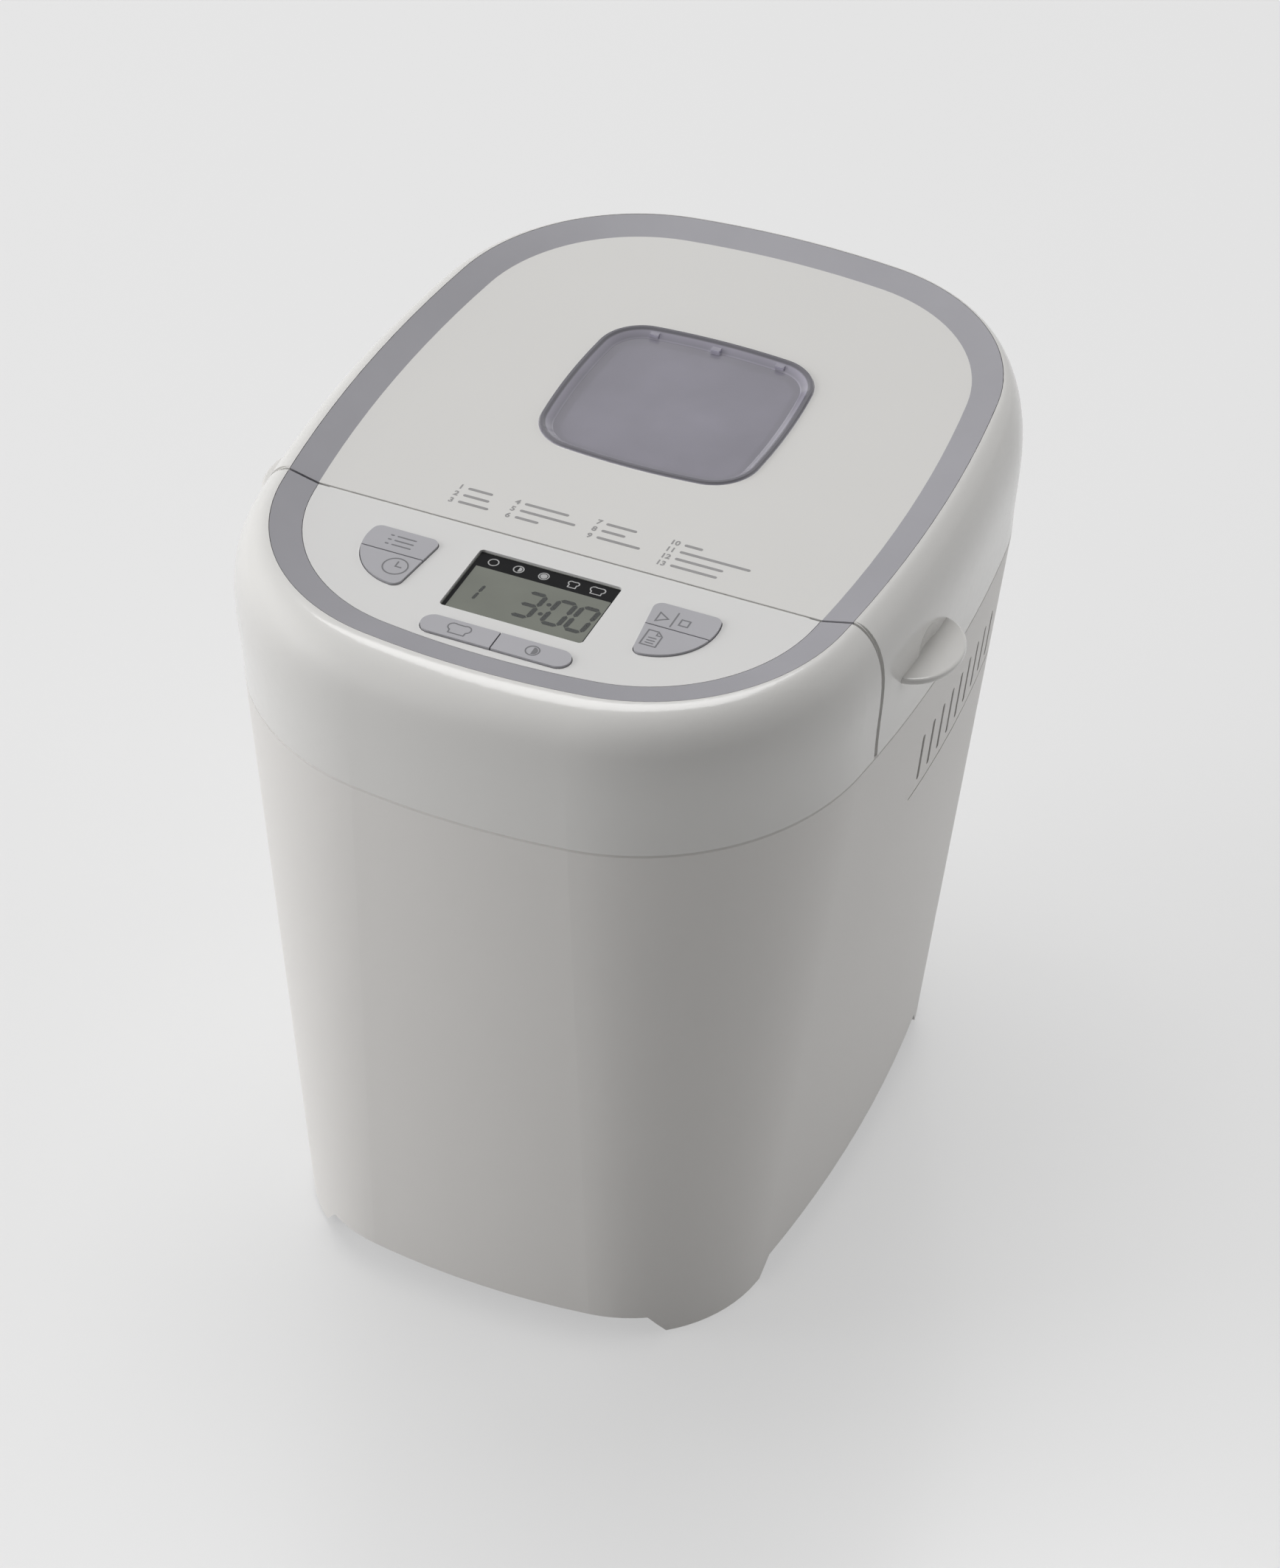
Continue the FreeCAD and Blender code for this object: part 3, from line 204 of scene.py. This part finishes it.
def remap(tree, source, source_low, source_high, low, high):
    span = tree.nodes.new("ShaderNodeMapRange")
    span.inputs["From Min"].default_value = source_low
    span.inputs["From Max"].default_value = source_high
    span.inputs["To Min"].default_value = low
    span.inputs["To Max"].default_value = high
    tree.links.new(source, span.inputs["Value"])
    return span.outputs["Result"]


def tinted(tree, source, colour, change):
    ramp = tree.nodes.new("ShaderNodeValToRGB")
    dark, pale = ramp.color_ramp.elements
    dark.position = NOISE_LOW
    pale.position = NOISE_HIGH
    dark.color = tuple(c * (1 - change) for c in colour) + (1,)
    pale.color = tuple(min(1, c * (1 + change)) for c in colour) + (1,)
    tree.links.new(source, ramp.inputs["Fac"])
    return ramp.outputs["Color"]


def surface(name, colour, rough, rough_span=0.05, change=0.02, cloud=14.0, grain=900.0, depth=0.00002,
            grain_strength=0.2, stretch=EVEN, metallic=0.0, coat=0.0, transmission=0.0, ior=1.46,
            specular=0.5):
    """Material whose colour varies by a share at the cloud's scale, and its roughness at the grain's."""
    mat = bpy.data.materials.new(name)
    mat.use_nodes = True
    tree = mat.node_tree
    bsdf = tree.nodes["Principled BSDF"]
    soft = noise(tree, cloud, CLOUD_DETAIL, EVEN)
    fine = noise(tree, grain, GRAIN_DETAIL, stretch)
    roughness = remap(tree, fine, NOISE_LOW, NOISE_HIGH, rough - rough_span, rough + rough_span)
    bump = tree.nodes.new("ShaderNodeBump")
    bump.inputs["Strength"].default_value = grain_strength
    bump.inputs["Distance"].default_value = depth
    tree.links.new(fine, bump.inputs["Height"])
    tree.links.new(tinted(tree, soft, colour, change), bsdf.inputs["Base Color"])
    tree.links.new(roughness, bsdf.inputs["Roughness"])
    tree.links.new(bump.outputs["Normal"], bsdf.inputs["Normal"])
    bsdf.inputs["Metallic"].default_value = metallic
    bsdf.inputs["Coat Weight"].default_value = coat
    bsdf.inputs["Coat Roughness"].default_value = COAT_ROUGHNESS
    bsdf.inputs["Transmission Weight"].default_value = transmission
    bsdf.inputs["IOR"].default_value = ior
    bsdf.inputs["Specular IOR Level"].default_value = specular
    return mat


BRUSH_X = (0.04, 1, 1)
BRUSH_Z = (1, 1, 0.04)
SHEETS_Z = (0.05, 0.05, 3)
TURNS_Z = (1, 1, 6)

white_gloss = surface("white_gloss", (0.735, 0.725, 0.705), 0.24, 0.02, 0.008, 9.0, 260.0, 0.000004, 0.06,
                      coat=0.45)
white_satin = surface("white_satin", (0.75, 0.732, 0.71), 0.42, 0.03, 0.01, 9.0, 900.0, 0.000006, 0.08)
panel_satin = surface("panel_satin", (0.745, 0.74, 0.73), 0.34, 0.02, 0.006, 9.0, 700.0, 0.000004, 0.06)
ring_grey = surface("ring_grey", (0.365, 0.36, 0.385), 0.5, 0.05, 0.03, 30.0, 2600.0, 0.00001, 0.15,
                    metallic=0.05, specular=0.15)
key_grey = surface("key_grey", (0.425, 0.42, 0.445), 0.42, 0.05, 0.02, 30.0, 2200.0, 0.00002, 0.2)
mark_grey = surface("mark_grey", (0.17, 0.17, 0.18), 0.5, 0.05, 0.05, 60.0, 2000.0)
list_grey = surface("list_grey", (0.31, 0.305, 0.305), 0.5, 0.05, 0.05, 60.0, 2000.0)
lcd_green = surface("lcd_green", (0.185, 0.195, 0.165), 0.16, 0.03, 0.08, 40.0, 1500.0, 0.00001, 0.05,
                    coat=0.2)
lcd_black = surface("lcd_black", (0.014, 0.014, 0.015), 0.35, 0.04, 0.2, 60.0, 1500.0, 0.00001, 0.05,
                    specular=0.06)
lcd_digit = surface("lcd_digit", (0.035, 0.038, 0.036), 0.3, 0.04, 0.15, 80.0, 1500.0, 0.00001, 0.05)
lcd_print = surface("lcd_print", (0.42, 0.42, 0.42), 0.4, 0.05, 0.05, 60.0, 2000.0)
window_tint = surface("window_tint", (0.395, 0.38, 0.445), 0.14, 0.05, 0.09, 22.0, 900.0, 0.00001, 0.05,
                      coat=0.6, transmission=0.4)
pane_clear = surface("pane_clear", (0.80, 0.83, 0.81), 0.05, 0.02, 0.02, 20.0, 700.0, 0.00001, 0.03,
                     transmission=0.95, ior=1.5)
black_plastic = surface("black_plastic", (0.03, 0.03, 0.031), 0.5, 0.08, 0.15, 40.0, 1300.0, 0.00003, 0.4)
base_plastic = surface("base_plastic", (0.11, 0.11, 0.115), 0.55, 0.08, 0.1, 30.0, 1200.0, 0.00004, 0.4)
rubber_black = surface("rubber_black", (0.022, 0.022, 0.022), 0.75, 0.08, 0.2, 60.0, 900.0, 0.00005, 0.5)
silicone = surface("silicone", (0.30, 0.29, 0.275), 0.6, 0.08, 0.05, 40.0, 800.0, 0.00004, 0.4)
sheet_steel = surface("sheet_steel", (0.58, 0.58, 0.57), 0.36, 0.05, 0.04, 22.0, 300.0, 0.000003, 0.06,
                      stretch=BRUSH_Z, metallic=1.0)
bright_steel = surface("bright_steel", (0.66, 0.66, 0.67), 0.22, 0.05, 0.04, 40.0, 500.0, 0.000003, 0.08,
                       stretch=BRUSH_X, metallic=1.0)
dark_steel = surface("dark_steel", (0.16, 0.145, 0.135), 0.45, 0.1, 0.25, 60.0, 600.0, 0.00003, 0.5,
                     metallic=0.8)
ceramic = surface("ceramic", (0.66, 0.63, 0.57), 0.45, 0.06, 0.05, 60.0, 700.0)
non_stick = surface("non_stick", (0.045, 0.045, 0.048), 0.42, 0.1, 0.3, 180.0, 1500.0, 0.00004, 0.5,
                    metallic=0.2)
cast_metal = surface("cast_metal", (0.46, 0.46, 0.47), 0.48, 0.1, 0.1, 60.0, 500.0, 0.00006, 0.6,
                     metallic=0.9)
ground_steel = surface("ground_steel", (0.60, 0.60, 0.61), 0.24, 0.06, 0.04, 60.0, 500.0, 0.00001, 0.3,
                       stretch=BRUSH_Z, metallic=1.0)
stack_steel = surface("stack_steel", (0.20, 0.20, 0.205), 0.5, 0.1, 0.2, 30.0, 260.0, 0.0001, 0.7,
                      stretch=SHEETS_Z, metallic=0.8)
copper = surface("copper", (0.52, 0.20, 0.09), 0.35, 0.08, 0.25, 90.0, 300.0, 0.0001, 0.8,
                 stretch=TURNS_Z, metallic=0.7)
bronze = surface("bronze", (0.40, 0.26, 0.11), 0.45, 0.08, 0.15, 70.0, 700.0, 0.00003, 0.4, metallic=0.9)
board_green = surface("board_green", (0.03, 0.13, 0.055), 0.4, 0.08, 0.2, 160.0, 900.0, 0.00003, 0.4)

# Painted light on the moulded window: painted highlights up its sloping sides and on its lugs, a painted
# dark line on its crest.
# Each step is a share of the way from floor to crest, and what the colour is multiplied by there.
WINDOW_FLOOR, WINDOW_CREST = 274.3, 276.9
WINDOW_PAINTED_LIGHT_STEPS = ((0.0, 1.0), (0.06, 1.45), (0.2, 1.15), (0.7, 1.4), (0.82, 0.6), (1.0, 0.6))
UPRIGHT_NORMAL, SLOPING_NORMAL = 0.1, 0.5
UPRIGHT_PAINTED_LIGHT = 1.7


def paint_window_light(mat):
    tree = mat.node_tree
    bsdf = tree.nodes["Principled BSDF"]
    base = bsdf.inputs["Base Color"].links[0].from_socket
    coords = tree.nodes.new("ShaderNodeTexCoord")
    place = tree.nodes.new("ShaderNodeSeparateXYZ")
    facing = tree.nodes.new("ShaderNodeSeparateXYZ")
    curve = tree.nodes.new("ShaderNodeFloatCurve")
    painted_light = tree.nodes.new("ShaderNodeMath")
    scale = tree.nodes.new("ShaderNodeVectorMath")
    painted_light.operation = "MULTIPLY"
    scale.operation = "SCALE"
    points = curve.mapping.curves[0].points
    while len(points) < len(WINDOW_PAINTED_LIGHT_STEPS):
        points.new(0.5, 0.5)
    curve.mapping.use_clip = False
    for point, step in zip(points, WINDOW_PAINTED_LIGHT_STEPS):
        point.location = step
        point.handle_type = "VECTOR"
    curve.mapping.update()
    tree.links.new(coords.outputs["Object"], place.inputs["Vector"])
    tree.links.new(coords.outputs["Normal"], facing.inputs["Vector"])
    # Painted highlight bands and a painted dark crest line, by height above the window floor
    height = remap(tree, place.outputs["Z"], WINDOW_FLOOR * MM, WINDOW_CREST * MM, 0.0, 1.0)
    # Upright faces and lugs painted paler, painted light in place of their shade
    upright = remap(tree, facing.outputs["Z"], UPRIGHT_NORMAL, SLOPING_NORMAL, UPRIGHT_PAINTED_LIGHT, 1.0)
    tree.links.new(height, curve.inputs["Value"])
    tree.links.new(curve.outputs["Value"], painted_light.inputs[0])
    tree.links.new(upright, painted_light.inputs[1])
    tree.links.new(base, scale.inputs[0])
    tree.links.new(painted_light.outputs["Value"], scale.inputs["Scale"])
    tree.links.new(scale.outputs["Vector"], bsdf.inputs["Base Color"])


paint_window_light(window_tint)

finishes = {
    white_gloss: ("lid_cover", "front_collar"),
    panel_satin: ("control_panel",),
    white_satin: ("lower_housing",),
    ring_grey: ("panel_ring", "lid_ring"),
    key_grey: ("menu_key", "timer_key", "start_key", "recipe_key", "loaf_key", "colour_key"),
    lcd_green: ("lcd_window", "lcd_module"),
    window_tint: ("window_lens",),
    pane_clear: ("window_pane",),
    black_plastic: ("cord_gland", "chamber_deck", "key_switches", "motor_pulley", "drive_pulley",
                    "power_components", "motor_capacitor"),
    base_plastic: ("base_plate",),
    rubber_black: ("foot_pads", "drive_belt"),
    silicone: ("lid_seal", "window_gasket"),
    sheet_steel: ("chassis_plate", "chamber_liner", "heat_shield", "pan_seat", "lid_tray", "element_clips"),
    bright_steel: ("pan_clips", "pan_handle", "hinge_pins", "base_screws", "lid_screws", "motor_bolts",
                   "temperature_probe"),
    dark_steel: ("heating_element",),
    ceramic: ("element_bushes",),
    non_stick: ("bread_pan", "kneading_paddle"),
    cast_metal: ("pan_base", "pan_hub", "pan_ears", "bearing_housing", "motor_end_caps", "drive_dog",
                 "pan_coupling"),
    ground_steel: ("pan_shaft", "drive_shaft", "motor_rotor"),
    stack_steel: ("motor_stator",),
    copper: ("motor_windings",),
    bronze: ("drive_bushes",),
    board_green: ("power_board", "control_board"),
}
for material, names in finishes.items():
    for node_name in names:
        nodes[node_name].data.materials.clear()
        nodes[node_name].data.materials.append(material)


# Prints: flat shapes in millimetres, a few hundredths proud of what carries them
PRINT = 0.05
LCD_PRINT = 0.03
LCD_TOP_PRINT = 0.02
KEY_TOP = 276.8
PANEL_Z = 276.0
LCD_TOP = 275.1
LINE = 0.5
THIN_LINE = 0.45
FINE_LINE = 0.4


def strip(points, width, closed=False):
    """Quads along a line of points."""
    count = len(points)
    left = []
    right = []
    for i, (x, y) in enumerate(points):
        before = points[i - 1] if i > 0 or closed else points[i]
        after = points[(i + 1) % count] if i < count - 1 or closed else points[i]
        a = Vector((x - before[0], y - before[1]))
        b = Vector((after[0] - x, after[1] - y))
        a = a.normalized() if a.length > 0 else b.normalized()
        b = b.normalized() if b.length > 0 else a
        normal = Vector((-(a.y + b.y), a.x + b.x)).normalized()
        reach = width / 2 / max(0.5, normal.dot(Vector((-a.y, a.x))))
        left.append((x + normal.x * reach, y + normal.y * reach))
        right.append((x - normal.x * reach, y - normal.y * reach))
    loops = count if closed else count - 1
    faces = [(i, (i + 1) % count, count + (i + 1) % count, count + i) for i in range(loops)]
    return left + right, faces


def area(points):
    return list(points), [tuple(range(len(points)))]


def panel(x0, x1, y0, y1):
    return area([(x0, y0), (x1, y0), (x1, y1), (x0, y1)])


def arc(cx, cy, r, start, end, steps):
    turns = [math.radians(start + (end - start) * i / steps) for i in range(steps + 1)]
    return [(cx + r * math.cos(turn), cy + r * math.sin(turn)) for turn in turns]


def circle(cx, cy, r, steps=28):
    return arc(cx, cy, r, 0, 360, steps)[:-1]


def bar(x0, x1, y, height):
    r = height / 2
    return area(arc(x1 - r, y, r, -90, 90, 6) + arc(x0 + r, y, r, 90, 270, 6))


def loaf(x, y, reach, r, foot, foot_y, steps):
    """Outline of a loaf: two round shoulders over a narrower foot."""
    shoulders = arc(x - reach, y, r, 250, 60, steps) + arc(x + reach, y, r, 120, -70, steps)
    return shoulders + [(x + foot, foot_y), (x - foot, foot_y)]


def printed(name, shapes, z, material, body, height=PRINT):
    bm = bmesh.new()
    for corners, faces in shapes:
        verts = [bm.verts.new((x * MM, y * MM, z * MM)) for x, y in corners]
        made = [bm.faces.new([verts[i] for i in face]) for face in faces]
        top = bmesh.ops.extrude_face_region(bm, geom=made, use_keep_orig=True)
        moved = [v for v in top["geom"] if isinstance(v, bmesh.types.BMVert)]
        bmesh.ops.translate(bm, verts=moved, vec=(0, 0, height * MM))
    bmesh.ops.recalc_face_normals(bm, faces=bm.faces)
    mesh = bpy.data.meshes.new(name)
    bm.to_mesh(mesh)
    bm.free()
    mesh.materials.append(material)
    piece = bpy.data.objects.new(name, mesh)
    scene.collection.objects.link(piece)
    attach(piece, body)


# Key pictograms
ROW_LINE = 0.6
menu_rows = []
for row in (-76.0, -78.3, -80.6):
    menu_rows.append(bar(-55.0, -53.6, row, ROW_LINE))
    menu_rows.append(bar(-52.6, -45.6, row, ROW_LINE))
printed("menu_icon", menu_rows, KEY_TOP, mark_grey, "menu_button")

CLOCK_X, CLOCK_Y, CLOCK_R = -46.2, -90.6, 4.2
clock_hands = [(CLOCK_X, CLOCK_Y + 2.7), (CLOCK_X, CLOCK_Y), (CLOCK_X + 2.2, CLOCK_Y)]
printed("timer_icon", [strip(circle(CLOCK_X, CLOCK_Y, CLOCK_R), LINE, True), strip(clock_hands, LINE)],
        KEY_TOP, mark_grey, "timer_button")

play = [(42.0, -77.4), (42.0, -82.0), (45.6, -79.7)]
divider = [(47.6, -75.4), (47.6, -83.2)]
stop = [(49.8, -78.2), (52.8, -78.2), (52.8, -81.2), (49.8, -81.2)]
printed("start_icon", [strip(play, LINE, True), strip(divider, LINE), strip(stop, LINE, True)],
        KEY_TOP, mark_grey, "start_button")

page = [(42.2, -87.0), (45.6, -87.0), (47.6, -89.0), (47.6, -94.6), (42.2, -94.6)]
page_fold = [(45.6, -87.6), (45.6, -89.0), (47.0, -89.0)]
page_rows = [bar(43.4, 46.4, row, THIN_LINE) for row in (-90.6, -92.0, -93.3)]
printed("recipe_icon", [strip(page, LINE, True), strip(page_fold, FINE_LINE)] + page_rows,
        KEY_TOP, mark_grey, "recipe_button")

key_loaf = loaf(-13.0, -111.2, 2.2, 1.8, 2.7, -114.4, 8)
printed("loaf_icon", [strip(key_loaf, THIN_LINE, True)], KEY_TOP, mark_grey, "loaf_button")

CRUST_X, CRUST_Y = 13.0, -112.0
printed("colour_icon", [strip(circle(CRUST_X, CRUST_Y, 2.3), THIN_LINE, True),
                        area(arc(CRUST_X, CRUST_Y, 1.75, -90, 90, 12))],
        KEY_TOP, mark_grey, "colour_button")

# Display: dark printed strip, a dark border of painted shade along the recess walls, pictograms on the
# strip
LCD_LEFT, LCD_RIGHT, LCD_FRONT, LCD_BACK = -24.9, 24.9, -101.2, -70.2
STRIP_FRONT = -77.4
# Painted shade of the recess walls: wide along the left edge, narrow along the right and front
PAINTED_SHADE_WIDTH = 1.4
PAINTED_SHADE_EDGE = 0.4
printed("display_strip_and_painted_shade", [panel(LCD_LEFT, LCD_RIGHT, STRIP_FRONT, LCD_BACK),
                          # The first panel is the printed strip; the other three are painted shade
                          panel(LCD_LEFT, LCD_LEFT + PAINTED_SHADE_WIDTH, LCD_FRONT + PAINTED_SHADE_EDGE, STRIP_FRONT),
                          panel(LCD_RIGHT - PAINTED_SHADE_EDGE, LCD_RIGHT, LCD_FRONT + PAINTED_SHADE_EDGE, STRIP_FRONT),
                          panel(LCD_LEFT, LCD_RIGHT, LCD_FRONT, LCD_FRONT + PAINTED_SHADE_EDGE)],
        LCD_TOP, lcd_black, "body", LCD_PRINT)

CRUST_ROW = -73.8
LOAF_ROW, LOAF_FOOT = -73.3, -75.6
CRUST_OUTER, CRUST_INNER = 1.7, 1.2
pale_x, medium_x, dark_x = -19.0, -10.0, -1.0
pictograms = [strip(circle(pale_x, CRUST_ROW, CRUST_OUTER), FINE_LINE, True),
              strip(circle(medium_x, CRUST_ROW, CRUST_OUTER), FINE_LINE, True),
              area(arc(medium_x, CRUST_ROW, CRUST_INNER, -90, 90, 10)),
              strip(circle(dark_x, CRUST_ROW, CRUST_OUTER), FINE_LINE, True),
              area(circle(dark_x, CRUST_ROW, CRUST_INNER, 20))]
for x, size in ((9.5, 2.2), (18.0, 3.0)):
    outline = loaf(x, LOAF_ROW, size * 0.45, size * 0.42, size * 0.6, LOAF_FOOT, 6)
    pictograms.append(strip(outline, FINE_LINE, True))
printed("display_pictograms", pictograms, LCD_TOP + LCD_PRINT, lcd_print, "body",
        LCD_TOP_PRINT)

# Display: slanted seven-segment digits
SEGMENTS = {"0": "abcdef", "1": "bc", "3": "abcdg"}
SEGMENT_GAP = 0.12
SLANT = 0.1


def digit(mark, x, y, w, h, t):
    """Seven-segment figure with its lower left corner at x, y."""
    mid = y + h / 2
    gap = t * SEGMENT_GAP
    places = {"a": ((x, y + h), (x + w, y + h)), "g": ((x, mid), (x + w, mid)), "d": ((x, y), (x + w, y)),
              "f": ((x, mid), (x, y + h)), "b": ((x + w, mid), (x + w, y + h)),
              "e": ((x, y), (x, mid)), "c": ((x + w, y), (x + w, mid))}
    shapes = []
    for segment in SEGMENTS[mark]:
        start, end = (Vector(place) for place in places[segment])
        along = (end - start).normalized()
        across = Vector((-along.y, along.x)) * (t / 2)
        a = start + along * gap
        b = end - along * gap
        point = along * (t / 2)
        outline = [a, a + point + across, b - point + across, b, b - point - across, a + point - across]
        shapes.append(area([(p.x + SLANT * (p.y - y), p.y) for p in outline]))
    return shapes


CLOCK_FOOT = -95.6
COLON_X, COLON_R = 5.9, 0.85
figures = digit("1", -21.2, -94.0, 4.2, 8.2, 1.1)
for mark, x in (("3", -2.6), ("0", 8.0), ("0", 16.2)):
    figures += digit(mark, x, CLOCK_FOOT, 5.8, 12.6, 1.7)
for y in (-86.6, -92.0):
    figures.append(area(circle(COLON_X + SLANT * (y - CLOCK_FOOT), y, COLON_R, 16)))
printed("display_digits", figures, LCD_TOP, lcd_digit, "body", LCD_PRINT)

# Programme list behind the split: plain numbers with a short bar each
NUMBER_SIZE = 3.4
NUMBER_SWELL = 0.1
NUMBER_SHIFT = (-0.4, -1.1)
ROW_PITCH = 3.9
BAR_HEIGHT = 1.2
INDENT, WIDE_INDENT = 3.0, 4.6


def number(text, x, y):
    data = bpy.data.curves.new("number_" + text, "FONT")
    data.body = text
    data.size = NUMBER_SIZE * MM
    data.extrude = PRINT * MM / 2
    data.offset = NUMBER_SWELL * MM
    data.resolution_u = 4
    obj = bpy.data.objects.new("number_" + text, data)
    obj.location = (x * MM, y * MM, (PANEL_Z + PRINT / 2) * MM)
    scene.collection.objects.link(obj)
    bpy.context.view_layer.update()
    mesh = bpy.data.meshes.new_from_object(obj)
    mesh.transform(obj.matrix_world)
    bpy.data.objects.remove(obj)
    mesh.materials.clear()
    mesh.materials.append(list_grey)
    piece = bpy.data.objects.new("programme_" + text, mesh)
    scene.collection.objects.link(piece)
    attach(piece, "lid")


# Each column: left end, first row, first number, lengths of the bars
columns = ((-46.5, -42.0, 1, (9.0, 9.5, 11.0)), (-25.8, -42.0, 4, (16.0, 20.0, 8.5)),
           (3.2, -41.0, 7, (11.0, 8.5, 15.5)), (29.6, -41.0, 10, (6.5, 25.0, 17.0, 16.5)))
bars = []
for x, y, first, lengths in columns:
    start = x + (WIDE_INDENT if first >= 10 else INDENT)
    for row, length in enumerate(lengths):
        line_y = y - row * ROW_PITCH
        number(str(first + row), x + NUMBER_SHIFT[0], line_y + NUMBER_SHIFT[1])
        bars.append(bar(start, start + length, line_y, BAR_HEIGHT))
printed("programme_bars", bars, PANEL_Z, list_grey, "lid")
